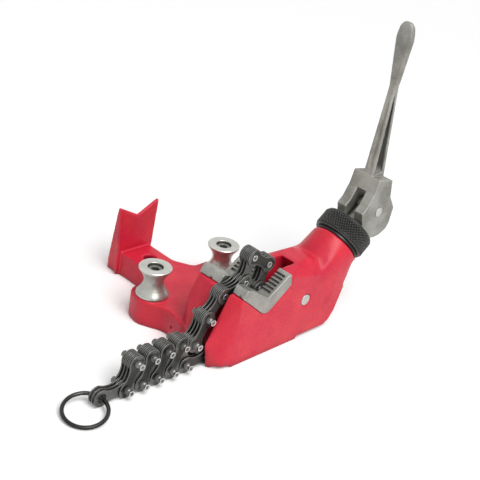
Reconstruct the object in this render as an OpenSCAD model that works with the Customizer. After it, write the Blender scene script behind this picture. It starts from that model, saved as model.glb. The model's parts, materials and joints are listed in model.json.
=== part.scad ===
// Bench-top chain pipe vise: cast body with chain slot, two serrated jaws, roller
// plate and V rest, leaf chain with pull ring, spindle with thrust nut and cam lever.
// Millimetres. Z up, base on Z = 0, pipe axis along Y above X = 0, chain slot on Y = 0.

/* [Body] */
// Width of the chain slot between the cheeks
slot_w = 17; // [16.5:0.5:18]
// Thickness of the cheek on the open side
near_t = 14.5; // [14:0.5:16]
// Thickness of the cheek that carries the roller plate
far_t = 26.5; // [25:0.5:28]
// Height of the body's top beside the slot
top_h = 81; // [80:0.5:82]
// Height of the step under the rear of the body
step_h = 2.8; // [1:0.2:4]
// Thickness of the body's floor under the slot
floor_t = 14; // [10:0.5:15]

/* [Jaws] */
// Slope of the seat faces under the jaws
seat_a = 39; // [38:0.5:40]
// Slope of the gripping faces
grip_a = 35; // [34:0.5:36]
// Height of the sharp seat vertex above the base
seat_z = 44.8; // [44:0.2:46]
// Height of the gripping vertex above the base
grip_z = 63.5; // [62:0.5:65]
// Number of grooves on the rear leg of each jaw
groove_n = 6; // [4:1:7]
// Width of one groove
groove_w = 2.4; // [1.6:0.2:2.8]
// Depth of one groove
groove_d = 2.2; // [1:0.2:3]
// Plain rim left at the outer side of the grooves
groove_rim = 3.4; // [2:0.2:5]
// Number of fine teeth on the front leg of each jaw
tooth_n = 7; // [4:1:9]

/* [Plate] */
// Height of the roller plate's top
plate_h = 26; // [24:0.5:28]
// Thickness of the plate over its hollow underside
plate_t = 9; // [7:0.5:11]
// Distance of each roller from the pipe axis plane
roller_x = 45.3; // [44:0.1:47]
// Distance of the rollers from the chain slot
roller_y = 81.7; // [80:0.1:84]
// Height of the low boss under each roller
boss_h = 1.2; // [0.8:0.1:2]
// Distance of the bench bolt hole from the slot
bolt_y = 138.5; // [136:0.5:141]
// Diameter of the bench bolt holes
bolt_d = 13; // [11:0.5:14]

/* [V rest] */
// Distance of the V rest's front face from the slot
rest_y = 161.3; // [160:0.1:163]
// Thickness of the V rest at its top
rest_t = 4.2; // [3.5:0.1:6]
// Height of the notch of the V rest
notch_z = 64.2; // [63:0.1:66]
// Height of the two peaks of the V rest
peak_z = 77.2; // [76:0.1:79]
// Distance of each peak from the pipe axis plane
peak_x = 25.2; // [24:0.1:27]

/* [Rollers] */
// Height of a roller
roller_h = 29.6; // [28:0.2:31]
// Radius of a roller's flanges
flange_r = 16.1; // [15:0.1:17]
// Radius of a roller's waist
waist_r = 9.8; // [9.6:0.1:11]
// Radius of the roller's running bore
roller_bore = 6.05; // [6.02:0.01:6.09]

/* [Chain] */
// Pitch of the leaf chain
pitch = 25.4; // [25.2:0.1:25.6]
// Radius of a link plate's ends
lobe_r = 8.1; // [7.8:0.1:8.2]
// Half height of a link plate's waist
waist_h = 4.9; // [4.4:0.1:5.2]
// Thickness of one link plate
link_t = 1.6; // [1.5:0.05:1.65]
// Centre distance of neighbouring plates in the stack
link_s = 1.85; // [1.85:0.05:1.95]
// Radius of the chain pins
pin_r = 3; // [2.8:0.1:3.1]
// Half length of the long chain pins
long_pin = 12.8; // [12:0.1:13.5]
// Spacing of the folded chain along the bench
fold_step = 17.1; // [16.9:0.1:17.4]
// Outside radius of the pull ring
ring_r = 21; // [20:0.1:24]
// Radius of the pull ring's wire
wire_r = 1.8; // [1.6:0.05:2]

/* [Spindle] */
// Slope of the spindle above the bench
axis_a = 40.5; // [40:0.5:41]
// Radius of the spindle
rod_r = 8; // [7.6:0.1:8.2]
// Thickness of the spindle's flat head
head_t = 10.4; // [10:0.1:10.4]
// Radius of the neck's rim
neck_r = 25.5; // [25:0.1:26.5]
// Distance from the lever pivot back to the neck's rim
rim_b = 50.2; // [50:0.1:50.5]

/* [Adjuster] */
// Radius of the knurled nut
nut_r = 28; // [27.5:0.1:29]
// Length of the knurled nut
nut_l = 19.7; // [19:0.1:20]
// Radius of the threaded hub inside the nut
hub_r = 18; // [17:0.1:18.4]
// Thickness of the hub's flange on the neck
hub_t = 2.8; // [2.4:0.1:3]

/* [Lever] */
// Height of the lever's tip above its pivot
lever_h = 190; // [180:1:200]
// Half width of the lever's fork
fork_w = 16.5; // [15.5:0.1:17]
// Width of the slot in the fork
fork_gap = 11; // [11:0.1:11.4]
// Lift of the cams over their working angle
cam_lift = 3.5; // [3:0.1:4]
// Working angle of the lever
cam_a = 75; // [60:1:80]
// Radius of the lever's pivot pin
lpin_r = 4; // [3.8:0.1:4.2]

/* [Hidden] */
$fn = 64;
eps = 0.02;
big = 200;
fit = 0.05;
seat_gap = 0.05;
red = [0.86, 0.2, 0.24];
steel = [0.72, 0.73, 0.7];
dark = [0.3, 0.3, 0.29];
black = [0.14, 0.15, 0.14];

slot = slot_w / 2;
near_y = -(slot + near_t);
far_y = slot + far_t;

// Spindle line: the lever pivot and points behind it
pivot = [155.6, 112.4];
function along(b) = pivot - b * [cos(axis_a), sin(axis_a)];
function turned(a) = [cos(a), sin(a)];

// Guide pin under which the chain turns towards the spindle
guide = [57.4, 43.5];
guide_r = 5.8;

// Rounded outline: corners given as [x, y, radius]
function unit(v) = v / norm(v);
function cross2(a, b) = a[0] * b[1] - a[1] * b[0];
function arc_pts(p, q, r, n, m = 5) =
  let (u = unit([p[0] - q[0], p[1] - q[1]]))
  let (v = unit([n[0] - q[0], n[1] - q[1]]))
  let (h = acos(u * v) / 2)
  let (d = r / tan(h))
  let (c = [q[0], q[1]] + unit(u + v) * (r / sin(h)))
  let (s = [q[0], q[1]] + u * d - c)
  let (w = cross2(u, v) > 0 ? -1 : 1)
  [for (i = [0:m]) let (t = w * i / m * (180 - 2 * h))
    c + [s[0] * cos(t) - s[1] * sin(t), s[0] * sin(t) + s[1] * cos(t)]];
function rounded(pts) = [
  for (i = [0:len(pts) - 1])
    let (p = pts[(i + len(pts) - 1) % len(pts)])
    let (n = pts[(i + 1) % len(pts)])
    each (pts[i][2] > 0 ? arc_pts(p, pts[i], pts[i][2], n) : [[pts[i][0], pts[i][1]]])
];

module side(pts, y0, y1) {
  translate([0, y1, 0])
    rotate([90, 0, 0])
      linear_extrude(height = y1 - y0)
        polygon(pts);
}

module cross_rod(p, r, y0, y1, n = 64) {
  translate([p[0], y1, p[1]])
    rotate([90, 0, 0])
      cylinder(r = r, h = y1 - y0, $fn = n);
}

module on_axis(b) {
  translate([pivot[0], 0, pivot[1]])
    rotate([0, 90 - axis_a, 0])
      translate([0, 0, -b])
        children();
}

// ---- chain path --------------------------------------------------------
chain_n = 21;
eye_b = 99.4;
crest = [13, 87];
rest_l5 = [-77, lobe_r + 0.1];
fold_half = fold_step / 2;
fold_up = acos(fold_half / pitch);
way_eye = 232;
way_under = 187;
way_rise = 125;
way_crest = 150;
way_drop = 255;
way_slot = 195;
way_front = 228;
way_down = 242;
function hop(p, a) = p + pitch * turned(a);
function elbow(p, q, s) =
  let (d = q - p)
  let (m = (p + q) / 2)
  let (o = sqrt(pitch * pitch - norm(d) * norm(d) / 4))
  m + s * o * [-d[1], d[0]] / norm(d);
q0 = along(eye_b);
q1 = hop(q0, way_eye);
q2 = hop(q1, way_under);
q3 = hop(q2, way_rise);
q5 = crest;
q4 = elbow(q3, q5, 1);
q6 = hop(q5, way_crest);
q7 = hop(q6, way_drop);
q8 = hop(q7, way_slot);
q9 = hop(q8, way_front);
q10 = hop(q9, way_down);
q12 = rest_l5;
q11 = elbow(q10, q12, 1);
fold_h = pitch * sin(fold_up);
function fold(i) = rest_l5 + [-fold_half * i, i % 2 == 1 ? fold_h : 0];
q21 = fold(8) - [pitch, 0];
chain_pts = [
  q0, q1, q2, q3, q4, q5, q6, q7, q8, q9, q10, q11,
  for (i = [0:8]) fold(i),
  q21
];
function link_a(k) =
  let (d = chain_pts[k] - chain_pts[k - 1])
  atan2(d[1], d[0]);

// ---- casting -----------------------------------------------------------
// Front edge, nose and rear curve of the body seen from the side
front_top = [-38.7, 71.8];
front_mid = [-57.4, 31.6];
nose = [-60.9, 25.3];
front_low = [-55.5, 5.8];
rear_curve = [[119, 54], [114, 36], [108, 16], [102, 7], [90, 2.5]];
step_x = 54;

// Thin outline at one depth, a station of a faired body
skin = 0.2;
module slice(pts, y) {
  side(pts, y - skin / 2, y + skin / 2);
}

// Cheeks and rear body: the outline at the slot and the outlines at both faces
module cheeks() {
  outer = [[-46.8, 0], [-46.6, 4.3], [-34, 71], [62, 69], [116, 62]];
  mid = [[-55.5, 0], front_low, nose, front_mid, front_top, [29, top_h], [68, top_h], [118, 66]];
  away = [[-46.8, 0], [-47.4, 18.4], [-45.5, 50.6], [-34.8, 71.5], [28, 68], [112, 63]];
  low = [90, 0];
  hull() {
    slice(concat(outer, rear_curve, [low]), near_y + skin / 2);
    side(concat(mid, rear_curve, [low]), -slot, slot + 6);
    slice(concat(away, rear_curve, [low]), far_y - skin / 2);
  }
}

// Raised shoulder of the open side behind the jaws
module shoulder() {
  hull() {
    slice([[20, 60], [20, 77], [30, 78], [62, 69], [62, 60]], near_y + skin / 2);
    slice([[20, 60], [20, top_h], [62, top_h], [62, 60]], -slot);
  }
}

// Neck: a round boss on the spindle's line, faired into the body
module neck() {
  on_axis(rim_b + 24)
    cylinder(r = neck_r, h = 24);
  hull() {
    on_axis(rim_b + 26)
      cylinder(r = neck_r, h = 20, $fn = 40);
    slice([[70, 64], [82, 75], [101, 78], [118, 64], [117, 52], [110, 34], [95, 21]], near_y + skin / 2);
    slice([[84, 30], [84, 60], [110, 60], [114, 52], [109, 35], [97, 22]], far_y - 6);
  }
}

// Clearance outline of a jaw, opened by the gap g
function jaw_outline(g) = rounded([
  [0, seat_z - g / cos(seat_a), 9],
  [29.9 + g, seat_z + 29.9 * tan(seat_a) - g, 1.6],
  [27.4 + g, grip_z + 27.4 * tan(grip_a) + g, 2.2],
  [23.4, grip_z + 23.4 * tan(grip_a) + g, 1],
  [0, grip_z, 1.5],
  [-22, grip_z + 22 * tan(grip_a) - 1, 3],
  [-30.4, grip_z + 22 * tan(grip_a) + 1.6, 2],
  [-34.4 - g, seat_z + 34.4 * tan(seat_a) - g, 0.8]
]);
function seat_outline() = rounded([
  [0, seat_z - seat_gap / cos(seat_a), 9],
  [29.9 + seat_gap, seat_z + 29.9 * tan(seat_a) - seat_gap, 1.6],
  [27.3 + seat_gap, 86, 0],
  [27.3 + seat_gap, big, 0],
  [-70, big, 0],
  [-70, seat_z + 70 * tan(seat_a) - seat_gap, 0]
]);

// Chain slot and the pocket round the guide pin, the eye and its travel
pocket_b = 77.5;
pocket_w = 12;
function beside(b, w) = along(b) + w * [-sin(axis_a), cos(axis_a)];
module chain_way() {
  way = [
    [-90, -big], [-20, -big], [-8, floor_t], [80, floor_t],
    beside(pocket_b, -pocket_w), beside(pocket_b, pocket_w),
    [60, 66], [52, 68], [42, top_h + 10], [42, big], [-90, big]
  ];
  side(way, -slot, slot);
}

// Roller plate with its arm, and the hollow under it
module plate_outline(s) {
  polygon(rounded([
    [-19, rest_y + 3, 0], [-18.5, 123, 16], [-30, 104, 7], [-58, 104, 16], [-64, 80, 15],
    [-50, 54, 18], [-56, 28, 9], [-49, 9, 0], [49, 9, 0], [52, 28, 6],
    [50, 54, 18], [64, 80, 15], [58, 104, 16], [30, 104, 7], [18.5, 123, 16], [19, rest_y + 3, 0]
  ]));
}

lug = [88, 52];
lug_r = 16;
lug_t = 12;
module bench_plate() {
  linear_extrude(height = plate_h)
    plate_outline();
  for (x = [-roller_x, roller_x])
    translate([x, roller_y, 0])
      cylinder(r = flange_r, h = plate_h + boss_h);
  translate([lug[0], lug[1], 0])
    cylinder(r = lug_r, h = lug_t);
  translate([lug[0] - lug_r, far_y - 4, 0])
    cube([2 * lug_r, lug[1] - far_y + 4, lug_t]);
}

hollow_h = plate_h - plate_t;
module under_hollow() {
  wall = 6;
  translate([0, 0, -1])
    linear_extrude(height = hollow_h + 1)
      polygon(rounded([
        [-12, 128, 4], [-13, 100, 4], [-26, 92, 4], [-26, 66, 4],
        [26, 66, 4], [26, 92, 4], [13, 100, 4], [12, 128, 4]
      ]));
  for (x = [-1, 1])
    translate([x * 34, 46, -1])
      linear_extrude(height = hollow_h + 1)
        polygon(rounded([[-11, -8, 3], [11, -8, 3], [9, 12, 3], [-11, 12, 3]]));
}

// V rest at the end of the arm
module v_rest() {
  front = [
    [-peak_x, peak_z], [0, notch_z], [peak_x, peak_z], [22.5, plate_h], [19, 0], [-22, 0],
    [-24, 6], [-22.5, plate_h]
  ];
  side(front, rest_y, rest_y + rest_t);
  for (s = [-1, 1])
    hull() {
      side([[s * peak_x, peak_z - 1], [0, notch_z - 1], [0, 0], [s * 20, 0]], rest_y + 1, rest_y + rest_t);
      side([[s * 20, 12], [0, 12], [0, 0], [s * 20, 0]], rest_y + 1, rest_y + 18);
    }
}

sleeve_r = 6;
screw_r = 3;
screw_head_r = 5;
screw_pit = 33;
hub_spigot_r = 15;
hub_spigot_l = 8;

module casting() {
  color(red)
    difference() {
      union() {
        cheeks();
        shoulder();
        neck();
        bench_plate();
        v_rest();
      }
      chain_way();
      side(seat_outline(), near_y - 5, -slot + 1);
      side(seat_outline(), slot - 1, far_y + 0.5);
      translate([step_x, near_y - 5, -1])
        cube([big, far_y - near_y + 5, step_h + 1]);
      on_axis(pocket_b + 4)
        cylinder(r = rod_r + fit, h = pocket_b);
      on_axis(rim_b + hub_spigot_l)
        cylinder(r = hub_spigot_r + eps, h = big);
      cross_rod(guide, guide_r + eps, near_y - 5, far_y + 5);
      cross_rod(guide, guide_r + 1.2, near_y - 5, near_y + 1);
      for (y = [jaw_y_near, jaw_y_far])
        translate([0, y, -1]) {
          cylinder(r = screw_head_r + 0.5, h = screw_pit + 1);
          cylinder(r = screw_r + 0.2, h = seat_z + 8);
        }
      under_hollow();
      for (p = [[0, bolt_y], lug])
        translate([p[0], p[1], -1])
          cylinder(r = bolt_d / 2, h = plate_h + 3);
      for (x = [-roller_x, roller_x])
        translate([x, roller_y, -1])
          cylinder(r = sleeve_r + eps, h = plate_h + 5);
      translate([-70, 44, 12])
        rotate([0, 90, 0])
          cylinder(r = 1.5, h = 30);
    }
}

// ---- jaws --------------------------------------------------------------
jaw_y_near = (near_y - slot) / 2 - 0.2;
jaw_y_far = (far_y + slot) / 2 - 3;
jaw_proud = 0.4;

module jaw(y0, y1, rim0, rim1) {
  groove_p = 4.1;
  difference() {
    side(jaw_outline(0), y0, y1);
    // grooves across the rear leg
    for (i = [0:groove_n - 1])
      translate([0, (y0 + rim0 + y1 - rim1) / 2, grip_z])
        rotate([0, -grip_a, 0])
          translate([5.4 + groove_p * i, 0, 0])
            cube([groove_w, y1 - y0 - rim0 - rim1, 2 * groove_d], center = true);
    // fine teeth on the front leg
    for (i = [0:tooth_n - 1])
      translate([0, (y0 + y1) / 2, grip_z])
        rotate([0, grip_a, 0])
          translate([-6 - 2.3 * i, 0, 0])
            rotate([0, 45, 0])
              cube([1.1, y1 - y0 + 1, 1.1], center = true);
  }
}

module near_jaw() {
  color(steel)
    difference() {
      jaw(near_y - jaw_proud, -slot, groove_rim, 0 - 1);
      translate([0, jaw_y_near, 0])
        cylinder(r = screw_r + eps, h = seat_z + 11);
      // hollow scallop in the front end
      translate([-35.6, near_y + 5.6, 0])
        cylinder(r = 2.6, h = big);
      // cut corner of the front end
      translate([-36.4, near_y - jaw_proud, 0])
        rotate([0, 0, 45])
          cube([5, 5, big], center = true);
    }
}

module far_jaw() {
  color(steel)
    difference() {
      jaw(slot, far_y, 0 - 1, groove_rim);
      translate([0, jaw_y_far, 0])
        cylinder(r = screw_r + eps, h = seat_z + 11);
      translate([-35.6, far_y - 14.5, 0])
        cylinder(r = 2.6, h = big);
      translate([-36.9, far_y, 0])
        rotate([0, 0, -28])
          cube([4, 26, big], center = true);
    }
}

module jaw_screws() {
  color(black)
    for (y = [jaw_y_near, jaw_y_far])
      translate([0, y, 0])
        difference() {
          union() {
            translate([0, 0, screw_pit - 6])
              cylinder(r = screw_head_r, h = 6 - eps);
            translate([0, 0, screw_pit - 1])
              cylinder(r = screw_r, h = seat_z + 10 - screw_pit + 1);
          }
          translate([0, 0, screw_pit - 9])
            cylinder(r = 2.9, h = 6, $fn = 6);
        }
}

module guide_pin() {
  color(steel)
    cross_rod(guide, guide_r, near_y + 0.2, far_y - 2);
}

// ---- rollers -----------------------------------------------------------
roller_z = plate_h + boss_h + 0.3;
sleeve_head_r = 7.4;
cap_r = 7.7;
cap_d = 4.4;

module roller(x) {
  translate([x, roller_y, roller_z])
    difference() {
      rotate_extrude($fn = 96) {
        side_w = flange_r - waist_r;
        difference() {
          square([flange_r, roller_h]);
          translate([waist_r + 9.2, roller_h / 2])
            circle(r = 9.2, $fn = 96);
          translate([flange_r - 0.01, roller_h / 2 - 7])
            square([2, 14]);
        }
      }
      translate([0, 0, -1])
        cylinder(r = roller_bore, h = roller_h + 2);
      translate([0, 0, roller_h - cap_d])
        cylinder(r = cap_r, h = cap_d + 1);
    }
}

module front_roller() {
  color(steel) roller(-roller_x);
}

module rear_roller() {
  color(steel) roller(roller_x);
}

module roller_sleeves() {
  color(steel)
    for (x = [-roller_x, roller_x])
      translate([x, roller_y, hollow_h - 6])
        difference() {
          union() {
            cylinder(r = sleeve_r, h = roller_z + roller_h - cap_d - hollow_h + 7);
            translate([0, 0, roller_z + roller_h - cap_d - hollow_h + 6.3])
              cylinder(r = sleeve_head_r, h = 1.6);
          }
          translate([0, 0, -1])
            cylinder(r = 4, h = big);
        }
}

// ---- adjuster ----------------------------------------------------------
nut_b = rim_b - hub_t - 0.3;
nut_top = nut_b - nut_l;
recess_r = 20.1;
washer_r = 20;
washer_t = 3;
washer_top = nut_top - 0.3;

module adjuster_hub() {
  color(black)
    difference() {
      union() {
        on_axis(rim_b)
          cylinder(r = nut_r - 4, h = hub_t);
        on_axis(rim_b + hub_spigot_l - 0.3)
          cylinder(r = hub_spigot_r, h = hub_spigot_l);
        on_axis(rim_b - hub_t + 1)
          cylinder(r = hub_r, h = nut_l - 5);
      }
      on_axis(rim_b + 20)
        cylinder(r = rod_r + 0.5, h = 60);
    }
}

module knurled_nut() {
  bevel = 1.6;
  color(black)
    difference() {
      on_axis(nut_b)
        rotate_extrude($fn = 96)
          polygon([
            [rod_r + 1, 0], [nut_r - bevel, 0], [nut_r, bevel],
            [nut_r, nut_l - bevel], [nut_r - bevel, nut_l], [rod_r + 1, nut_l]
          ]);
      on_axis(nut_b + 1)
        cylinder(r = hub_r + fit, h = nut_l - 4);
      on_axis(washer_top + washer_t + 0.1)
        cylinder(r = recess_r, h = 20);
    }
}

module thrust_washer() {
  color(steel)
    difference() {
      on_axis(washer_top + washer_t)
        cylinder(r = washer_r, h = washer_t);
      on_axis(washer_top + 10)
        cylinder(r = rod_r + fit, h = 20);
    }
}

// ---- spindle -----------------------------------------------------------
head_b = 32;
clevis_b = eye_b - 9.4;
head_r = 9;

module spindle() {
  color(steel)
    difference() {
      union() {
        on_axis(clevis_b)
          cylinder(r = rod_r, h = clevis_b - head_b);
        intersection() {
          on_axis(head_b + 1)
            translate([-rod_r, -head_t / 2, 0])
              cube([2 * rod_r, head_t, head_b + 1]);
          on_axis(head_b + 2)
            cylinder(r = rod_r, h = head_b + 20);
        }
        cross_rod(pivot, head_r, -head_t / 2, head_t / 2);
        // comb that takes the first link's plates
        on_axis(eye_b)
          translate([-lobe_r, -3 * link_s - link_t / 2, 0])
            cube([2 * lobe_r, 6 * link_s + link_t, eye_b - clevis_b + 1]);
        cross_rod(q0, lobe_r, -3 * link_s - link_t / 2, 3 * link_s + link_t / 2);
      }
      for (i = [-2, 0, 2])
        on_axis(eye_b + 20)
          translate([-20, i * link_s - link_s + link_t / 2, 0])
            cube([40, 2 * link_s - link_t, 29.3]);
      cross_rod(q0, pin_r + eps, -20, 20);
      cross_rod(pivot, lpin_r + fit, -20, 20);
    }
}

module eye_pin() {
  color(dark)
    cross_rod(q0, pin_r, -3 * link_s - 1.4, 3 * link_s + 1.4);
}

// ---- lever -------------------------------------------------------------
cam_free = 0.3;
cam_h0 = washer_top - cam_free;
cam_k = cam_lift / cam_a;
cam_k_rad = cam_k * 180 / PI;
cam_first = axis_a + 180;
function cam_pt(f) =
  let (h = cam_h0 + cam_k * (f - cam_first))
  [h * cos(f) - cam_k_rad * sin(f), h * sin(f) + cam_k_rad * cos(f)];
function cam_outline() = concat(
  [for (f = [cam_first - 12:3:cam_first + cam_a + 12]) pivot + cam_pt(f)],
  [for (p = [[23.5, -18], [25.5, -0.5], [15.5, 13.5], [12.1, 32.3], [-9.7, 36.5], [-13.2, 22.2],
    [-20.2, 9], [-26.4, 3]]) pivot + p]
);
shank_z = 34;
waist_z = 124;

module slab(z, w, d, r = 1.2) {
  translate([pivot[0] + 0.6, 0, pivot[1] + z])
    linear_extrude(height = 0.1)
      polygon(rounded([[-w / 2, -d / 2, r], [w / 2, -d / 2, r], [w / 2, d / 2, r], [-w / 2, d / 2, r]]));
}

module lever() {
  color(steel)
    difference() {
      union() {
        side(cam_outline(), -fork_w, fork_w);
        hull() {
          slab(shank_z - 6, 21, 12);
          slab(waist_z, 7, 7.6);
        }
        hull() {
          slab(waist_z - 2, 7, 7.6, 2);
          slab(waist_z + 18, 7.8, 12, 2.6);
          slab(lever_h - 16, 8.6, 18.6, 3.2);
          slab(lever_h - 5, 8, 16, 3.2);
          slab(lever_h - 0.1, 4.4, 9, 2);
        }
      }
      // side pockets of the shank
      for (s = [-1, 1])
        hull() {
          translate([pivot[0] - 5.6, s * 5 - 2.4, pivot[1] + shank_z + 4])
            cube([12.4, 4.8, 1]);
          translate([pivot[0] - 0.6, s * 5 - 2.4, pivot[1] + waist_z - 8])
            cube([2.4, 4.8, 1]);
        }
      // slot between the two cams
      side([
        [100, 60], [pivot[0] + 50, 60], [pivot[0] + 50, pivot[1] + 2],
        [pivot[0] + 12, pivot[1] + 11], [pivot[0] + 4, pivot[1] + 21], [100, pivot[1] + 21]
      ], -fork_gap / 2, fork_gap / 2);
      cross_rod(pivot, lpin_r + eps, -40, 40);
    }
}

module lever_pin() {
  color(steel)
    cross_rod(pivot, lpin_r, -fork_w - 0.7, fork_w + 0.7);
}

// ---- chain links -------------------------------------------------------
waist_arc = ((pitch / 2) * (pitch / 2) + waist_h * waist_h - lobe_r * lobe_r) / (2 * (lobe_r - waist_h));
tangent_k = lobe_r / (lobe_r + waist_arc);
flank_x = pitch / 2 * tangent_k;
flank_z = (waist_h + waist_arc) * tangent_k;

module plates(rows) {
  difference() {
    for (i = rows)
      translate([0, i * link_s, 0]) {
        for (x = [0, pitch])
          cross_rod([x, 0], lobe_r, -link_t / 2, link_t / 2, 48);
        translate([flank_x, -link_t / 2, -flank_z])
          cube([pitch - 2 * flank_x, link_t, 2 * flank_z]);
      }
    for (s = [-1, 1])
      cross_rod([pitch / 2, s * (waist_h + waist_arc)], waist_arc, -20, 20, 96);
  }
}

module at_link(k) {
  translate([chain_pts[k - 1][0], 0, chain_pts[k - 1][1]])
    rotate([0, -link_a(k), 0])
      children();
}

module inner_link(k, end_r = pin_r + fit) {
  color(dark)
    at_link(k)
      difference() {
        plates([-2, 0, 2]);
        cross_rod([0, 0], pin_r + fit, -20, 20);
        cross_rod([pitch, 0], end_r, -20, 20);
      }
}

module outer_link(k, pin_a, pin_b) {
  color(dark)
    at_link(k) {
      plates([-3, -1, 1, 3]);
      cross_rod([0, 0], pin_r, -pin_a, pin_a, 48);
      cross_rod([pitch, 0], pin_r, -pin_b, pin_b, 48);
    }
}

short_pin = 3 * link_s + link_t / 2 + 0.5;
ring_hole = 4.6;
module link_01() { inner_link(1); }
module link_02() { outer_link(2, short_pin, short_pin); }
module link_03() { inner_link(3); }
module link_04() { outer_link(4, short_pin, short_pin); }
module link_05() { inner_link(5); }
module link_06() { outer_link(6, short_pin, short_pin); }
module link_07() { inner_link(7); }
module link_08() { outer_link(8, short_pin, short_pin); }
module link_09() { inner_link(9); }
module link_10() { outer_link(10, long_pin, long_pin); }
module link_11() { inner_link(11); }
module link_12() { outer_link(12, short_pin, long_pin); }
module link_13() { inner_link(13); }
module link_14() { outer_link(14, long_pin, long_pin); }
module link_15() { inner_link(15); }
module link_16() { outer_link(16, long_pin, long_pin); }
module link_17() { inner_link(17); }
module link_18() { outer_link(18, long_pin, long_pin); }
module link_19() { inner_link(19); }
module link_20() { outer_link(20, long_pin, long_pin); }
module link_21() { inner_link(21, ring_hole); }

// Pull ring through the last link's hole, its far side on the bench
ring_mid = ring_r - wire_r;
ring_turn = 17;
ring_roll = 4;
ring_dip = asin((q21[1] - wire_r - 0.5) / (2 * ring_mid));
module pull_ring() {
  color(black)
    translate([q21[0], 0, q21[1]])
      rotate([0, 0, ring_turn])
        rotate([0, -ring_dip, 0])
          rotate([ring_roll, 0, 0])
            translate([-ring_mid, 0, 0])
              rotate_extrude($fn = 96)
                translate([ring_mid, 0])
                  circle(r = wire_r, $fn = 32);
}

casting();
near_jaw();
far_jaw();
jaw_screws();
guide_pin();
roller_sleeves();
front_roller();
rear_roller();
adjuster_hub();
knurled_nut();
thrust_washer();
spindle();
eye_pin();
lever();
lever_pin();
link_01();
link_02();
link_03();
link_04();
link_05();
link_06();
link_07();
link_08();
link_09();
link_10();
link_11();
link_12();
link_13();
link_14();
link_15();
link_16();
link_17();
link_18();
link_19();
link_20();
link_21();
pull_ring();
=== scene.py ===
import json
import math

import bmesh
import bpy
from mathutils import Matrix, Vector


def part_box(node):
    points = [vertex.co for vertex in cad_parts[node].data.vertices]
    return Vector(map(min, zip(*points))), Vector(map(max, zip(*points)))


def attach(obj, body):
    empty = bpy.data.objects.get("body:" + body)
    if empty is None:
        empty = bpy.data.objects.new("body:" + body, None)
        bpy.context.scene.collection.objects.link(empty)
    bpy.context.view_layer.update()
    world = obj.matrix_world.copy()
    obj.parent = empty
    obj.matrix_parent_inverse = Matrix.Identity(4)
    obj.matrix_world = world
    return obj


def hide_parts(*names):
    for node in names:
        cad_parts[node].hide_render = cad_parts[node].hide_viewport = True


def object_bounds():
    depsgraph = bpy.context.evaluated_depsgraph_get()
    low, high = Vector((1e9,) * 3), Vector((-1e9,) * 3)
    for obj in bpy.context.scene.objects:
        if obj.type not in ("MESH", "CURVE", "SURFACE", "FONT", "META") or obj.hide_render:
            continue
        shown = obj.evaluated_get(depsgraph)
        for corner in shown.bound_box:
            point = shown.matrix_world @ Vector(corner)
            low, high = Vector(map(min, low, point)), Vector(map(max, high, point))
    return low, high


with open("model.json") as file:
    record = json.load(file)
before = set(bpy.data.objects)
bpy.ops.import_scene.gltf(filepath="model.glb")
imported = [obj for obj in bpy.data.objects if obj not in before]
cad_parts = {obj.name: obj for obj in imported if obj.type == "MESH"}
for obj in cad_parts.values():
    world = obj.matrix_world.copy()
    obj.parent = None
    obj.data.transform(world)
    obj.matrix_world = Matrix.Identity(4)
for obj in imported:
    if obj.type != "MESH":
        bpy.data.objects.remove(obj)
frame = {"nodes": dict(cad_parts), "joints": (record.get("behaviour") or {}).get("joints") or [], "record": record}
cad_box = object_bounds()

# ======================================================================
# BODY CASTING
# Two cheeks, the neck, the roller plate, its arm and the V rest, poured
# as one malleable iron casting. Fettled, then stove enamelled bright red.
# ======================================================================


def body_with(node):
    """The body that a node moves with."""
    for body, nodes in frame["record"]["behaviour"]["bodies"].items():
        if node in nodes:
            return body


def copy_of(node, name):
    """A new piece with the node's own shape, its vertices welded."""
    piece = bpy.data.objects.new(name, frame["nodes"][node].data.copy())
    bpy.context.scene.collection.objects.link(piece)
    piece.data.materials.clear()
    mesh = bmesh.new()
    mesh.from_mesh(piece.data)
    bmesh.ops.remove_doubles(mesh, verts=mesh.verts, dist=2e-6)
    mesh.to_mesh(piece.data)
    mesh.free()
    return piece


def settle(piece):
    """Turns a piece and its modifiers into one plain mesh."""
    bpy.context.view_layer.update()
    graph = bpy.context.evaluated_depsgraph_get()
    shaped = bpy.data.meshes.new_from_object(piece.evaluated_get(graph))
    piece.modifiers.clear()
    piece.data = shaped


def smooth_faces(piece):
    for face in piece.data.polygons:
        face.use_smooth = True


def stand_for(piece, node, slot, *materials):
    """Hangs the piece on the node's body in the node's place and finishes it."""
    for material in materials:
        piece.data.materials.append(material)
    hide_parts(node)
    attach(piece, body_with(node))


def run_over(node, name, grid, passes, keep, ease=None):
    """A cast or forged skin: the node's shape with its edges run over, then eased by the given step."""
    piece = copy_of(node, name)
    skin = piece.modifiers.new("skin", "REMESH")
    skin.mode = "VOXEL"
    skin.voxel_size = grid
    soft = piece.modifiers.new("soft edges", "SMOOTH")
    soft.factor = 0.5
    soft.iterations = passes
    settle(piece)
    if ease:
        mesh = bmesh.new()
        mesh.from_mesh(piece.data)
        ease(mesh)
        mesh.to_mesh(piece.data)
        mesh.free()
    thin = piece.modifiers.new("thin", "DECIMATE")
    thin.ratio = keep
    settle(piece)
    smooth_faces(piece)
    return piece


def rub_down(mesh, verts, times):
    for _ in range(times):
        bmesh.ops.smooth_vert(
            mesh, verts=verts, factor=0.5, use_axis_x=True, use_axis_y=True, use_axis_z=True
        )


def effect(name, takes, gives):
    """An empty effect group with its named inputs and outputs."""
    tree = bpy.data.node_groups.new(name, "ShaderNodeTree")
    for label, value in takes.items():
        socket = tree.interface.new_socket(label, in_out="INPUT", socket_type="NodeSocketFloat")
        socket.default_value = value
    for label in gives:
        tree.interface.new_socket(label, in_out="OUTPUT", socket_type="NodeSocketFloat")
    return tree, tree.nodes.new("NodeGroupInput"), tree.nodes.new("NodeGroupOutput")


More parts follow.
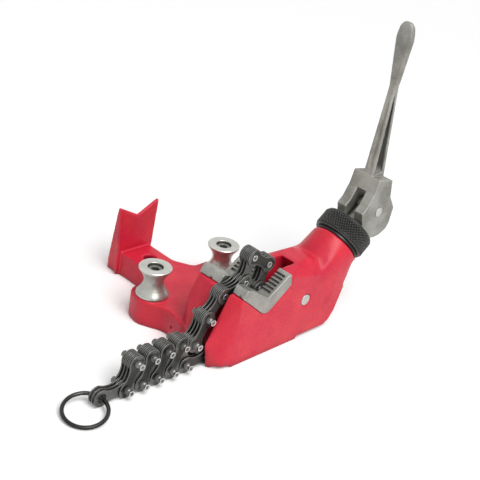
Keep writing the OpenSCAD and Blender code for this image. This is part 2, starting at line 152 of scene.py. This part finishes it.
def noise_in(tree, scale, detail, rough=0.6, stretch=(1, 1, 1)):
    """A noise texture on the piece's own coordinates, in cells per metre."""
    place = tree.nodes.new("ShaderNodeTexCoord")
    squeeze = tree.nodes.new("ShaderNodeMapping")
    squeeze.inputs["Scale"].default_value = stretch
    noise = tree.nodes.new("ShaderNodeTexNoise")
    if isinstance(scale, (int, float)):
        noise.inputs["Scale"].default_value = scale
    else:
        tree.links.new(scale, noise.inputs["Scale"])
    noise.inputs["Detail"].default_value = detail
    noise.inputs["Roughness"].default_value = rough
    tree.links.new(place.outputs["Object"], squeeze.inputs["Vector"])
    tree.links.new(squeeze.outputs["Vector"], noise.inputs["Vector"])
    return noise.outputs["Fac"]


def sum_in(tree, how, a, b):
    node = tree.nodes.new("ShaderNodeMath")
    node.operation = how
    for socket, value in zip(node.inputs, (a, b)):
        if isinstance(value, (int, float)):
            socket.default_value = value
        else:
            tree.links.new(value, socket)
    return node.outputs["Value"]


def span_in(tree, value, low, high, to_low=0.0, to_high=1.0):
    node = tree.nodes.new("ShaderNodeMapRange")
    node.interpolation_type = "SMOOTHSTEP"
    tree.links.new(value, node.inputs["Value"])
    for label, number in (("From Min", low), ("From Max", high), ("To Min", to_low), ("To Max", to_high)):
        if isinstance(number, (int, float)):
            node.inputs[label].default_value = number
        else:
            tree.links.new(number, node.inputs[label])
    return node.outputs["Result"]


# Skin: the fine pebble that sand, scale or blasting leaves, as a height and a tone.
skin_group, skin_in, skin_out = effect("surface skin", {"Scale": 900.0}, ["Height", "Tone"])
pebble = noise_in(skin_group, skin_in.outputs["Scale"], 4, 0.65)
cloud = noise_in(skin_group, 38, 3)
skin_group.links.new(pebble, skin_out.inputs["Height"])
fine_part = sum_in(skin_group, "MULTIPLY", pebble, 0.45)
broad_part = sum_in(skin_group, "MULTIPLY", cloud, 0.55)
skin_group.links.new(sum_in(skin_group, "ADD", fine_part, broad_part), skin_out.inputs["Tone"])

# Edge wear: bright or thin where hands and pipes have rubbed the edges, broken up by noise.
wear_group, wear_in, wear_out = effect("edge wear", {"Start": 0.53, "End": 0.62, "Patchy": 0.5}, ["Mask"])
form = wear_group.nodes.new("ShaderNodeNewGeometry")
raised = span_in(wear_group, form.outputs["Pointiness"], wear_in.outputs["Start"], wear_in.outputs["End"])
patches = span_in(wear_group, noise_in(wear_group, 160, 4), 0.35, 0.62)
gaps = sum_in(wear_group, "SUBTRACT", 1.0, patches)
held_back = sum_in(wear_group, "MULTIPLY", wear_in.outputs["Patchy"], gaps)
let_through = sum_in(wear_group, "SUBTRACT", 1.0, held_back)
wear_group.links.new(sum_in(wear_group, "MULTIPLY", raised, let_through), wear_out.inputs["Mask"])

# Grime: soft dark patches laid at random; the darkening in corners is painted shade, added in each finish.
grime_group, grime_in, grime_out = effect("grime", {"Amount": 0.3}, ["Mask"])
grime_and_shade = span_in(grime_group, noise_in(grime_group, 24, 5, 0.7), 0.42, 0.75)
grime_group.links.new(
    sum_in(grime_group, "MULTIPLY", grime_and_shade, grime_in.outputs["Amount"]), grime_out.inputs["Mask"]
)


def placed(material, group, **values):
    """Puts an effect group in a material with its own values."""
    node = material.node_tree.nodes.new("ShaderNodeGroup")
    node.node_tree = group
    for label, value in values.items():
        node.inputs[label].default_value = value
    return node


def blend_of(material, mask, below, above):
    """The colour above laid over the colour below, as far as the mask says."""
    node = material.node_tree.nodes.new("ShaderNodeMix")
    node.data_type = "RGBA"
    material.node_tree.links.new(mask, node.inputs["Factor"])
    for socket, colour in ((node.inputs[6], below), (node.inputs[7], above)):
        if isinstance(colour, tuple):
            socket.default_value = (*colour, 1.0)
        else:
            material.node_tree.links.new(colour, socket)
    return node.outputs[2]


def finish_of(
    name, light, dark, rubbed, grime_and_shade, metallic, rough, skin_scale, skin_depth,
    wear=(0.53, 0.62, 0.5), grime=0.3, rough_swing=0.1, coat=0.0, painted_shade_reach=0.004, painted_shade_strength=0.7, gloss=0.5,
):
    """A finish: light and dark tones of one skin, rubbed on its edges, with random patches of grime, and painted
    shade that darkens its nooks, creases and grooves.
    """
    material = bpy.data.materials.new(name)
    material.use_nodes = True
    tree = material.node_tree
    shader = tree.nodes["Principled BSDF"]
    skin = placed(material, skin_group, Scale=skin_scale)
    worn = placed(material, wear_group, Start=wear[0], End=wear[1], Patchy=wear[2])
    dirt = placed(material, grime_group, Amount=grime)
    tone = span_in(tree, skin.outputs["Tone"], 0.35, 0.65)
    colour = blend_of(material, tone, dark, light)
    colour = blend_of(material, dirt.outputs["Mask"], colour, grime_and_shade)
    colour = blend_of(material, worn.outputs["Mask"], colour, rubbed)
    # Painted shade: the colour is pulled toward the dark grime-and-shade colour wherever ambient occlusion finds
    # nearby surfaces.
    corner = tree.nodes.new("ShaderNodeAmbientOcclusion")
    corner.samples = 12
    corner.inputs["Distance"].default_value = painted_shade_reach
    painted_shade_mask = span_in(tree, corner.outputs["AO"], 0.25, 0.85, painted_shade_strength, 0.0)
    colour = blend_of(material, painted_shade_mask, colour, grime_and_shade)
    tree.links.new(colour, shader.inputs["Base Color"])
    matt = span_in(tree, skin.outputs["Tone"], 0.3, 0.7, rough + rough_swing, rough - rough_swing)
    tree.links.new(matt, shader.inputs["Roughness"])
    bump = tree.nodes.new("ShaderNodeBump")
    bump.inputs["Strength"].default_value = 1.0
    bump.inputs["Distance"].default_value = skin_depth
    tree.links.new(skin.outputs["Height"], bump.inputs["Height"])
    tree.links.new(bump.outputs["Normal"], shader.inputs["Normal"])
    shader.inputs["Metallic"].default_value = metallic
    shader.inputs["Specular IOR Level"].default_value = gloss
    shader.inputs["Coat Weight"].default_value = coat
    shader.inputs["Coat Roughness"].default_value = 0.12
    return material


red_enamel = finish_of(
    "red stove enamel", light=(0.68, 0.022, 0.040), dark=(0.60, 0.012, 0.046), rubbed=(0.78, 0.050, 0.055),
    grime_and_shade=(0.24, 0.003, 0.022), metallic=0.0, rough=0.46, skin_scale=420, skin_depth=0.00025,
    wear=(0.52, 0.66, 0.3), grime=0.22, coat=0.08, painted_shade_reach=0.018, painted_shade_strength=0.85, gloss=0.35,
)


shoulder_front = 0.070
shoulder_rear = 0.124
shoulder_low = 0.042
shoulder_passes = 60
toe_rear = -0.036
toe_inside = -0.0125
toe_high = 0.066
toe_passes = 160


def ease_body(mesh):
    """The shoulder flows into the neck with no hard line, and the near cheek's toe is rounded."""
    shoulder = [
        v for v in mesh.verts if shoulder_front < v.co.x < shoulder_rear and v.co.z > shoulder_low
    ]
    rub_down(mesh, shoulder, shoulder_passes)
    toe = [v for v in mesh.verts if v.co.x < toe_rear and v.co.y < toe_inside and v.co.z < toe_high]
    rub_down(mesh, toe, toe_passes)


casting = run_over("casting", "body_casting", 0.0009, 7, 0.35, ease_body)
stand_for(casting, "casting", "red_paint", red_enamel)

# ======================================================================
# JAWS
# Two case hardened V jaws, cast with their teeth and left bright from
# the shot blast. Each sits in a V pocket on its cheek, screwed from below.
# ======================================================================

jaw_bright = finish_of(
    "shot blasted jaw steel",
    light=(0.42, 0.415, 0.385), dark=(0.27, 0.266, 0.242), rubbed=(0.74, 0.735, 0.70),
    grime_and_shade=(0.035, 0.034, 0.030), metallic=0.7, rough=0.48, skin_scale=1500, skin_depth=0.00018,
    wear=(0.52, 0.60, 0.5), grime=0.25, painted_shade_reach=0.0035, painted_shade_strength=0.95,
)
for side in ("near", "far"):
    jaw = run_over(side + "_jaw", side + "_jaw_skin", 0.00042, 3, 0.4)
    stand_for(jaw, side + "_jaw", "jaw_steel", jaw_bright)

# ======================================================================
# JAW SCREWS
# Two blackened cap screws that draw the jaws down into their pockets.
# They go up through the cheeks from pits in the underside.
# ======================================================================


def edge_broken(node, name, chamfer, sharp=26, split=None, outer=0.0):
    """A machined or stamped skin: its sharp edges broken, by outer where they lie past split in Y."""
    piece = copy_of(node, name)
    mesh = bmesh.new()
    mesh.from_mesh(piece.data)
    bmesh.ops.dissolve_limit(
        mesh, angle_limit=math.radians(0.6), verts=mesh.verts, edges=mesh.edges, use_dissolve_boundaries=False
    )
    hard = [e for e in mesh.edges if len(e.link_faces) == 2 and e.calc_face_angle(0) > math.radians(sharp)]
    rounds = [(hard, chamfer)]
    if split:
        proud = [e for e in hard if e.is_convex]
        past = [e for e in proud if min(abs(v.co.y) for v in e.verts) > split]
        rounds = [([e for e in proud if e not in past], chamfer), (past, outer)]
    for edges, width in rounds:
        bmesh.ops.bevel(
            mesh, geom=edges, offset=width, offset_type="OFFSET", segments=2, profile=0.6,
            affect="EDGES", clamp_overlap=True,
        )
    for face in mesh.faces:
        face.smooth = True
    mesh.to_mesh(piece.data)
    mesh.free()
    tidy = piece.modifiers.new("flat faces", "WEIGHTED_NORMAL")
    tidy.keep_sharp = False
    settle(piece)
    return piece


black_oxide = finish_of(
    "black oxide", light=(0.042, 0.043, 0.042), dark=(0.018, 0.019, 0.018), rubbed=(0.22, 0.22, 0.215),
    grime_and_shade=(0.010, 0.010, 0.010), metallic=0.75, rough=0.40, skin_scale=1300, skin_depth=0.00008,
    wear=(0.54, 0.68, 0.5), grime=0.4,
)
screws = edge_broken("jaw_screws", "jaw_cap_screws", 0.0003)
stand_for(screws, "jaw_screws", "black_steel", black_oxide)

# ======================================================================
# GUIDE PIN
# A ground steel pin across the slot that the chain runs under. It is a
# press fit in both cheeks, its ends dressed nearly flush with the paint.
# ======================================================================

pin_bright = finish_of(
    "ground pin steel", light=(0.62, 0.61, 0.58), dark=(0.46, 0.45, 0.42), rubbed=(0.80, 0.79, 0.77),
    grime_and_shade=(0.20, 0.19, 0.18), metallic=0.9, rough=0.34, skin_scale=1800, skin_depth=0.00006,
    wear=(0.53, 0.62, 0.4), grime=0.35,
)
guide_pin = edge_broken("guide_pin", "guide_cross_pin", 0.0006)
stand_for(guide_pin, "guide_pin", "pin_steel", pin_bright)

# ======================================================================
# ROLLERS AND THEIR SLEEVES
# Two spools turned from bright bar, for bending or steadying a tube. Each
# spins on a hollow steel sleeve that is riveted into the plate.
# ======================================================================

# Turning marks: fine rings round an upright axis at a given place.
turn_group, turn_in, turn_out = effect(
    "turning marks", {"Centre X": 0.0, "Centre Y": 0.0, "Pitch": 5200.0}, ["Height"]
)
spot = turn_group.nodes.new("ShaderNodeTexCoord")
parts = turn_group.nodes.new("ShaderNodeSeparateXYZ")
turn_group.links.new(spot.outputs["Object"], parts.inputs["Vector"])
from_x = sum_in(turn_group, "SUBTRACT", parts.outputs["X"], turn_in.outputs["Centre X"])
from_y = sum_in(turn_group, "SUBTRACT", parts.outputs["Y"], turn_in.outputs["Centre Y"])
square_x = sum_in(turn_group, "MULTIPLY", from_x, from_x)
square_y = sum_in(turn_group, "MULTIPLY", from_y, from_y)
reach = sum_in(turn_group, "SQRT", sum_in(turn_group, "ADD", square_x, square_y), 0.0)
along = sum_in(turn_group, "ADD", reach, parts.outputs["Z"])
wave = sum_in(turn_group, "MULTIPLY", along, turn_in.outputs["Pitch"])
turn_group.links.new(sum_in(turn_group, "SINE", wave, 0.0), turn_out.inputs["Height"])


def add_turning(material, centre_x, centre_y, depth):
    """Lays turning marks over the skin that a material already has."""
    tree = material.node_tree
    marks = placed(material, turn_group, **{"Centre X": centre_x, "Centre Y": centre_y})
    old = next(n for n in tree.nodes if n.type == "BUMP")
    cut = tree.nodes.new("ShaderNodeBump")
    cut.inputs["Distance"].default_value = depth
    tree.links.new(marks.outputs["Height"], cut.inputs["Height"])
    tree.links.new(old.outputs["Normal"], cut.inputs["Normal"])
    tree.links.new(cut.outputs["Normal"], tree.nodes["Principled BSDF"].inputs["Normal"])


flange_radius = 0.0161
flange_rim = 0.0020
waist_radius = 0.0096
roller_height = 0.0296
roller_bore = 0.00605
cap_radius = 0.0077
cap_depth = 0.0044
groove_steps = 14
groove_curve = 1.7
rim_step = 0.0002
rim_break = 0.0005
cap_break = 0.0004
spool = [(roller_bore, 0.0), (flange_radius - rim_break, 0.0), (flange_radius, rim_break)]
for step in range(groove_steps + 1):
    t = -1 + 2 * step / groove_steps
    height = roller_height / 2 + t * (roller_height / 2 - flange_rim)
    flare = (flange_radius - waist_radius - rim_step) * abs(t) ** groove_curve
    spool.append((waist_radius + flare, height))
spool += [
    (flange_radius, roller_height - rim_break), (flange_radius - rim_break, roller_height),
    (cap_radius + cap_break, roller_height), (cap_radius, roller_height - cap_break),
    (cap_radius, roller_height - cap_depth), (roller_bore, roller_height - cap_depth),
]


def turned_from(name, outline, foot, steps=96):
    """A piece turned round an upright axis from its closed outline of radius and height."""
    mesh = bmesh.new()
    rings = []
    for radius, height in outline:
        angles = [2 * math.pi * n / steps for n in range(steps)]
        rings.append([mesh.verts.new((radius * math.cos(a), radius * math.sin(a), height)) for a in angles])
    for row, here in enumerate(rings):
        above = rings[(row + 1) % len(rings)]
        for n in range(steps):
            m = (n + 1) % steps
            mesh.faces.new((here[n], here[m], above[m], above[n])).smooth = True
    bmesh.ops.recalc_face_normals(mesh, faces=mesh.faces)
    for edge in mesh.edges:
        edge.smooth = edge.calc_face_angle(0) < math.radians(35)
    mesh.transform(Matrix.Translation(foot))
    piece = bpy.data.objects.new(name, bpy.data.meshes.new(name))
    bpy.context.scene.collection.objects.link(piece)
    mesh.to_mesh(piece.data)
    mesh.free()
    return piece


for which in ("front", "rear"):
    low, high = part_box(which + "_roller")
    foot = ((low[0] + high[0]) / 2, (low[1] + high[1]) / 2, low[2])
    turned = finish_of(
        which + " roller turned steel",
        light=(0.52, 0.525, 0.48), dark=(0.38, 0.385, 0.35), rubbed=(0.84, 0.85, 0.82),
        grime_and_shade=(0.07, 0.07, 0.06), metallic=0.8, rough=0.36, skin_scale=1300, skin_depth=0.00005,
        wear=(0.53, 0.62, 0.4), grime=0.3, painted_shade_reach=0.022, painted_shade_strength=0.9,
    )
    add_turning(turned, foot[0], foot[1], 0.00002)
    roller = turned_from(which + "_spool", spool, foot)
    stand_for(roller, which + "_roller", "roller_steel", turned)
sleeves = edge_broken("roller_sleeves", "riveted_sleeves", 0.0003)
# The sleeves get a darker steel as painted shade, so they read as the shadowed bores in the roller tops; their
# nooks are fully darkened as painted shade.
sleeve_shaded = finish_of(
    "sleeve steel darkened as painted shade", light=(0.34, 0.34, 0.315), dark=(0.20, 0.20, 0.185), rubbed=(0.55, 0.55, 0.52),
    grime_and_shade=(0.020, 0.020, 0.018), metallic=0.8, rough=0.45, skin_scale=1600, skin_depth=0.00006,
    painted_shade_reach=0.006, painted_shade_strength=1.0,
)
stand_for(sleeves, "roller_sleeves", "roller_steel", sleeve_shaded)

# ======================================================================
# ADJUSTER HUB AND KNURLED NUT
# The blackened hub is screwed into the neck. The nut runs on it, with a
# rolled diamond knurl round its rim, and takes up the chain's slack.
# ======================================================================

hub = edge_broken("adjuster_hub", "neck_hub", 0.0004)
stand_for(hub, "adjuster_hub", "black_steel", black_oxide)

nut_joint = next(j for j in frame["joints"] if j["name"] == "nut_turn")
nut_axis = Vector(nut_joint["axis"]).normalized()
nut_rise = 0.0031
nut_foot = Vector(nut_joint["pos_m"]) + nut_axis * nut_rise
nut_radius = 0.028
nut_length = 0.0197
nut_bevel = 0.0016
knurl_depth = 0.0008
knurl_rows = 14
knurl_columns = 148
bore = 0.01805
recess = 0.0201
web_low = 0.0147
web_high = 0.0169
rod_hole = 0.009

profile = [(bore, 0.0), (nut_radius - nut_bevel, 0.0)]
knurl_first = len(profile)
for row in range(knurl_rows + 1):
    profile.append((nut_radius, nut_bevel + (nut_length - 2 * nut_bevel) * row / knurl_rows))
knurl_last = len(profile) - 1
profile += [
    (nut_radius - nut_bevel, nut_length), (recess, nut_length), (recess, web_high),
    (rod_hole, web_high), (rod_hole, web_low), (bore, web_low),
]
mesh = bmesh.new()
crest = mesh.verts.layers.float.new("crest")
rings = []
for row, (radius, height) in enumerate(profile):
    ring = []
    for column in range(knurl_columns):
        cut = 0.0
        if knurl_first <= row <= knurl_last and (row in (knurl_first, knurl_last) or (row + column) % 2):
            cut = knurl_depth
        angle = 2 * math.pi * column / knurl_columns
        vert = mesh.verts.new(((radius - cut) * math.cos(angle), (radius - cut) * math.sin(angle), height))
        vert[crest] = 1.0 if knurl_first <= row <= knurl_last and not cut else 0.0
        ring.append(vert)
    rings.append(ring)
for row in range(len(rings)):
    here, above = rings[row], rings[(row + 1) % len(rings)]
    for column in range(knurl_columns):
        after = (column + 1) % knurl_columns
        a, b, c, d = here[column], here[after], above[after], above[column]
        if knurl_first <= row < knurl_last:
            halves = ((a, b, c), (a, c, d)) if (row + column) % 2 else ((a, b, d), (b, c, d))
            for corners in halves:
                mesh.faces.new(corners)
        else:
            mesh.faces.new((a, b, c, d))
bmesh.ops.recalc_face_normals(mesh, faces=mesh.faces)
mesh.transform(Matrix.Translation(nut_foot) @ nut_axis.to_track_quat("Z", "Y").to_matrix().to_4x4())
nut = bpy.data.objects.new("knurled_ring_nut", bpy.data.meshes.new("knurled_ring_nut"))
bpy.context.scene.collection.objects.link(nut)
mesh.to_mesh(nut.data)
mesh.free()
nut_black = finish_of(
    "black knurled steel", light=(0.022, 0.024, 0.022), dark=(0.010, 0.011, 0.010), rubbed=(0.24, 0.24, 0.23),
    grime_and_shade=(0.004, 0.004, 0.004), metallic=0.5, rough=0.36, skin_scale=1300, skin_depth=0.00004,
    wear=(0.52, 0.66, 0.2), grime=0.3, painted_shade_reach=0.0015, painted_shade_strength=0.8, gloss=0.3,
)
# The crests of the diamonds are rubbed bright; the grooves between them stay black, darkened further by painted
# shade from the finish.
tree = nut_black.node_tree
tips = tree.nodes.new("ShaderNodeAttribute")
tips.attribute_name = "crest"
base = tree.nodes["Principled BSDF"].inputs["Base Color"]
plain = base.links[0].from_socket
bright_tips = span_in(tree, tips.outputs["Fac"], 0.5, 0.95, 0.0, 1.0)
tree.links.new(blend_of(nut_black, bright_tips, plain, (0.42, 0.42, 0.40)), base)
stand_for(nut, "knurled_nut", "black_steel", nut_black)

# ======================================================================
# THRUST WASHER, SPINDLE AND ITS EYE PIN
# The cams press on a hard flat washer in the nut's recess. The forged
# spindle runs through it: a flat head above, a comb for the chain below.
# ======================================================================

forged = finish_of(
    "blasted forging", light=(0.40, 0.395, 0.355), dark=(0.21, 0.207, 0.185), rubbed=(0.66, 0.655, 0.61),
    grime_and_shade=(0.060, 0.058, 0.048), metallic=0.65, rough=0.50, skin_scale=1100, skin_depth=0.00040,
    wear=(0.51, 0.60, 0.35), grime=0.25, painted_shade_reach=0.007, painted_shade_strength=0.9,
)
washer = edge_broken("thrust_washer", "hard_washer", 0.0003)
stand_for(washer, "thrust_washer", "lever_steel", pin_bright)
spindle = edge_broken("spindle", "forged_spindle", 0.0005)
stand_for(spindle, "spindle", "lever_steel", forged)

# ======================================================================
# LEVER AND ITS PIVOT PIN
# A drop forging: a fork with two cams, a fluted shank and a flat grip,
# shot blasted and plated grey. The riveted pin joins it to the spindle.
# ======================================================================

flute_low = 0.150
flute_high = 0.236
flute_half = 0.0027
flute_depth = 0.0013
shank_middle = 0.1562
shank_half = 0.0098
shank_taper = 0.0728
pocket_rim = 0.0028
pocket_share = 0.66
foot_ramp = 9
head_ramp = 5
side_ramp = 5
grip_start = 0.238
grip_passes = 26
tip_start = 0.292
tip_passes = 30


def pocket_at(place):
    """How far into a side pocket a point of the shank lies, from 0 to 1."""
    up = (place.z - flute_low) / (flute_high - flute_low)
    half = shank_half - shank_taper * (place.z - flute_low) - pocket_rim
    inside = 1 - abs(place.x - shank_middle) / max(half, 1e-4)
    if not 0 < up < 1:
        return 0.0
    return max(0.0, min(1.0, side_ramp * inside, foot_ramp * up, head_ramp * (1 - up)))


def ease_lever(mesh):
    """Flutes and deeper side pockets down the shank, and a grip rounded over by the dies."""
    for vert in mesh.verts:
        up = (vert.co.z - flute_low) / (flute_high - flute_low)
        across = abs(vert.co.y) / flute_half
        if 0 < up < 1 and across < 1:
            ends = min(1.0, foot_ramp * up, head_ramp * (1 - up))
            cut = flute_depth * (1 - across ** 2) ** 1.5 * ends
            vert.co.x += cut if vert.co.x < shank_middle else -cut
        vert.co.y *= 1 - pocket_share * pocket_at(vert.co)
    rub_down(mesh, [v for v in mesh.verts if v.co.z > grip_start], grip_passes)
    rub_down(mesh, [v for v in mesh.verts if v.co.z > tip_start], tip_passes)


lever = run_over("lever", "cam_lever", 0.0006, 4, 0.45, ease_lever)
# The side pockets are painted near black as painted shade, darkest where the pocket is deepest.
recess = lever.data.attributes.new("recess", "FLOAT", "POINT")
recess.data.foreach_set("value", [pocket_at(v.co) for v in lever.data.vertices])
tree = forged.node_tree
pocket_depth = tree.nodes.new("ShaderNodeAttribute")
pocket_depth.attribute_name = "recess"
base = tree.nodes["Principled BSDF"].inputs["Base Color"]
plain = base.links[0].from_socket
painted_pocket_shade = span_in(tree, pocket_depth.outputs["Fac"], 0.1, 0.8, 0.0, 0.85)
tree.links.new(blend_of(forged, painted_pocket_shade, plain, (0.045, 0.044, 0.038)), base)
stand_for(lever, "lever", "lever_steel", forged)
lever_pin = edge_broken("lever_pin", "lever_pivot_pin", 0.0005)
# Riveting has spread the two ends of the pin over the fork's eyes.
low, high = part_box("lever_pin")
head_spread = 1.2
head_neck = high[1] - 0.0008
neck_width = 0.0001
mesh = bmesh.new()
mesh.from_mesh(lever_pin.data)
for side in (-1, 1):
    for cut in (head_neck, head_neck - neck_width):
        whole = mesh.verts[:] + mesh.edges[:] + mesh.faces[:]
        bmesh.ops.bisect_plane(mesh, geom=whole, plane_co=(0, side * cut, 0), plane_no=(0, 1, 0))
for vert in mesh.verts:
    if abs(vert.co.y) > head_neck - neck_width / 2:
        vert.co.x = (low[0] + high[0]) / 2 + head_spread * (vert.co.x - (low[0] + high[0]) / 2)
        vert.co.z = (low[2] + high[2]) / 2 + head_spread * (vert.co.z - (low[2] + high[2]) / 2)
mesh.to_mesh(lever_pin.data)
mesh.free()
stand_for(lever_pin, "lever_pin", "pin_steel", pin_bright)

# ======================================================================
# LEAF CHAIN
# Waisted plates blanked from spring steel and browned in oil, four to an
# outer link and three to an inner one, on pins that are spun over or left long.
# ======================================================================

chain_dark = finish_of(
    "oiled dark plate", light=(0.044, 0.044, 0.041), dark=(0.018, 0.018, 0.017), rubbed=(0.20, 0.20, 0.19),
    grime_and_shade=(0.006, 0.006, 0.005), metallic=0.6, rough=0.36, skin_scale=900, skin_depth=0.00012,
    wear=(0.505, 0.565, 0.3), grime=0.4, painted_shade_reach=0.0016, painted_shade_strength=0.95, gloss=0.35,
)
chain_pin = finish_of(
    "rubbed pin end", light=(0.22, 0.22, 0.21), dark=(0.09, 0.09, 0.085), rubbed=(0.74, 0.74, 0.72),
    grime_and_shade=(0.02, 0.02, 0.019), metallic=0.85, rough=0.30, skin_scale=1600, skin_depth=0.00006,
    wear=(0.51, 0.56, 0.1), grime=0.25, painted_shade_reach=0.0015, painted_shade_strength=0.95,
)
plate_edge = 0.0064
plate_break = 0.00055
pin_break = 0.0002
plate_pitch = 0.00185
plate_run = 0.8
spun_dish = 0.0011
dish_wall = 0.0004
dish_depth = 0.0005
smallest_end = 1e-5
for link in sorted(n for n in frame["nodes"] if n.startswith("link_")):
    piece = edge_broken(link, "chain_" + link, plate_break, split=plate_edge, outer=pin_break)
    mesh = bmesh.new()
    mesh.from_mesh(piece.data)
    # Blanking has drawn the plates' edges thin, which opens a dark line between one and the next.
    for vert in mesh.verts:
        if abs(vert.co.y) <= plate_edge:
            middle_y = round(vert.co.y / plate_pitch) * plate_pitch
            vert.co.y = middle_y + plate_run * (vert.co.y - middle_y)
    # The pins stand out past the plates; their ends are dished where they were spun.
    for face in mesh.faces:
        face.material_index = 1 if abs(face.calc_center_median().y) > plate_edge else 0
    flat = [f for f in mesh.faces if f.material_index and abs(f.normal.y) > 0.99]
    ends = [f for f in flat if f.calc_area() > smallest_end]
    if ends:
        bmesh.ops.inset_individual(mesh, faces=ends, thickness=spun_dish, depth=0.0)
        bmesh.ops.inset_individual(mesh, faces=ends, thickness=dish_wall, depth=-dish_depth)
    mesh.to_mesh(piece.data)
    mesh.free()
    stand_for(piece, link, "chain_steel", chain_dark, chain_pin)
eye_pin = edge_broken("eye_pin", "spindle_eye_pin", 0.0003)
stand_for(eye_pin, "eye_pin", "chain_steel", chain_pin)

# ======================================================================
# PULL RING
# A plain wire ring, sprung into the last link's end hole to pull the
# slack chain through. Blackened, with a shine where fingers rub it.
# ======================================================================

ring = copy_of("pull_ring", "wire_pull_ring")
smooth_faces(ring)
ring_black = finish_of(
    "blackened wire", light=(0.060, 0.058, 0.055), dark=(0.028, 0.027, 0.026), rubbed=(0.25, 0.24, 0.23),
    grime_and_shade=(0.015, 0.014, 0.013), metallic=0.85, rough=0.27, skin_scale=700, skin_depth=0.00005,
    wear=(0.56, 0.70, 0.5), grime=0.4,
)
stand_for(ring, "pull_ring", "black_steel", ring_black)

# ======================================================================
# FLOOR, LIGHTS AND VIEW
# A white bench top and white surroundings, one broad lamp above and to
# the right of the view, a soft light overhead, and a long lens.
# ======================================================================

floor_reach = 6.0
floor_drop = 0.0002
floor_white = 0.93
floor_glow = 0.14
floor_mesh = bmesh.new()
bmesh.ops.create_grid(floor_mesh, x_segments=2, y_segments=2, size=floor_reach)
floor = bpy.data.objects.new("white_floor", bpy.data.meshes.new("white_floor"))
floor_mesh.to_mesh(floor.data)
floor_mesh.free()
bpy.context.scene.collection.objects.link(floor)
floor.location.z = cad_box[0][2] - floor_drop
white = bpy.data.materials.new("white floor")
white.use_nodes = True
white_shader = white.node_tree.nodes["Principled BSDF"]
white_shader.inputs["Base Color"].default_value = (floor_white, floor_white, floor_white, 1.0)
white_shader.inputs["Roughness"].default_value = 0.9
white_shader.inputs["Specular IOR Level"].default_value = 0.1
glow = white.node_tree.nodes.new("ShaderNodeEmission")
eye = white.node_tree.nodes.new("ShaderNodeLightPath")
seen_floor = sum_in(
    white.node_tree, "MAXIMUM", eye.outputs["Is Camera Ray"],
    sum_in(white.node_tree, "MAXIMUM", eye.outputs["Is Glossy Ray"], eye.outputs["Is Transmission Ray"]),
)
white.node_tree.links.new(
    sum_in(white.node_tree, "MULTIPLY", seen_floor, floor_glow), glow.inputs["Strength"]
)
both = white.node_tree.nodes.new("ShaderNodeAddShader")
white.node_tree.links.new(white_shader.outputs["BSDF"], both.inputs[0])
white.node_tree.links.new(glow.outputs["Emission"], both.inputs[1])
white.node_tree.links.new(both.outputs["Shader"], white.node_tree.nodes["Material Output"].inputs["Surface"])
floor.data.materials.append(white)

world = bpy.data.worlds.new("white surroundings")
bpy.context.scene.world = world
world.use_nodes = True
sky = world.node_tree
rays = sky.nodes.new("ShaderNodeLightPath")
seen = sum_in(
    sky, "MAXIMUM", rays.outputs["Is Camera Ray"],
    sum_in(sky, "MAXIMUM", rays.outputs["Is Glossy Ray"], rays.outputs["Is Transmission Ray"]),
)
sky_level = 0.30
backdrop = sky.nodes["Background"]
backdrop.inputs["Color"].default_value = (1.0, 1.0, 1.0, 1.0)
sky.links.new(span_in(sky, seen, 0.0, 1.0, sky_level, 1.0), backdrop.inputs["Strength"])


def lamp(name, place, aim, size, power):
    light = bpy.data.lights.new(name, "AREA")
    light.shape = "SQUARE"
    light.size = size
    light.energy = power
    holder = bpy.data.objects.new(name, light)
    holder.location = place
    holder.rotation_euler = (Vector(aim) - Vector(place)).to_track_quat("-Z", "Y").to_euler()
    bpy.context.scene.collection.objects.link(holder)


middle = (0.0, 0.04, 0.08)
lamp("broad lamp", (-0.30, -0.90, 0.90), middle, 0.6, 3.5)
overhead = bpy.data.lights.new("overhead light", "SUN")
overhead.angle = math.radians(40)
overhead.energy = 2.1
overhead_holder = bpy.data.objects.new("overhead light", overhead)
overhead_holder.rotation_euler = Vector((0.06, 0.46, -0.88)).to_track_quat("-Z", "Y").to_euler()
bpy.context.scene.collection.objects.link(overhead_holder)

lens = bpy.data.cameras.new("view")
lens.lens = 76.7
lens.sensor_width = 36.0
lens.clip_start = 0.01
view = bpy.data.objects.new("view", lens)
view_place = Vector((-0.63705, -0.52283, 0.53091))
view_right = Vector((0.7005, -0.6968, 0.1539)).normalized()
view_back = Vector((-0.6762, -0.5793, 0.4552)).normalized()
view_up = view_back.cross(view_right).normalized()
view_right = view_up.cross(view_back)
turn = Matrix((view_right, view_up, view_back)).transposed().to_4x4()
view.matrix_world = Matrix.Translation(view_place) @ turn
bpy.context.scene.collection.objects.link(view)
bpy.context.scene.camera = view
bpy.context.scene.view_settings.view_transform = "Standard"
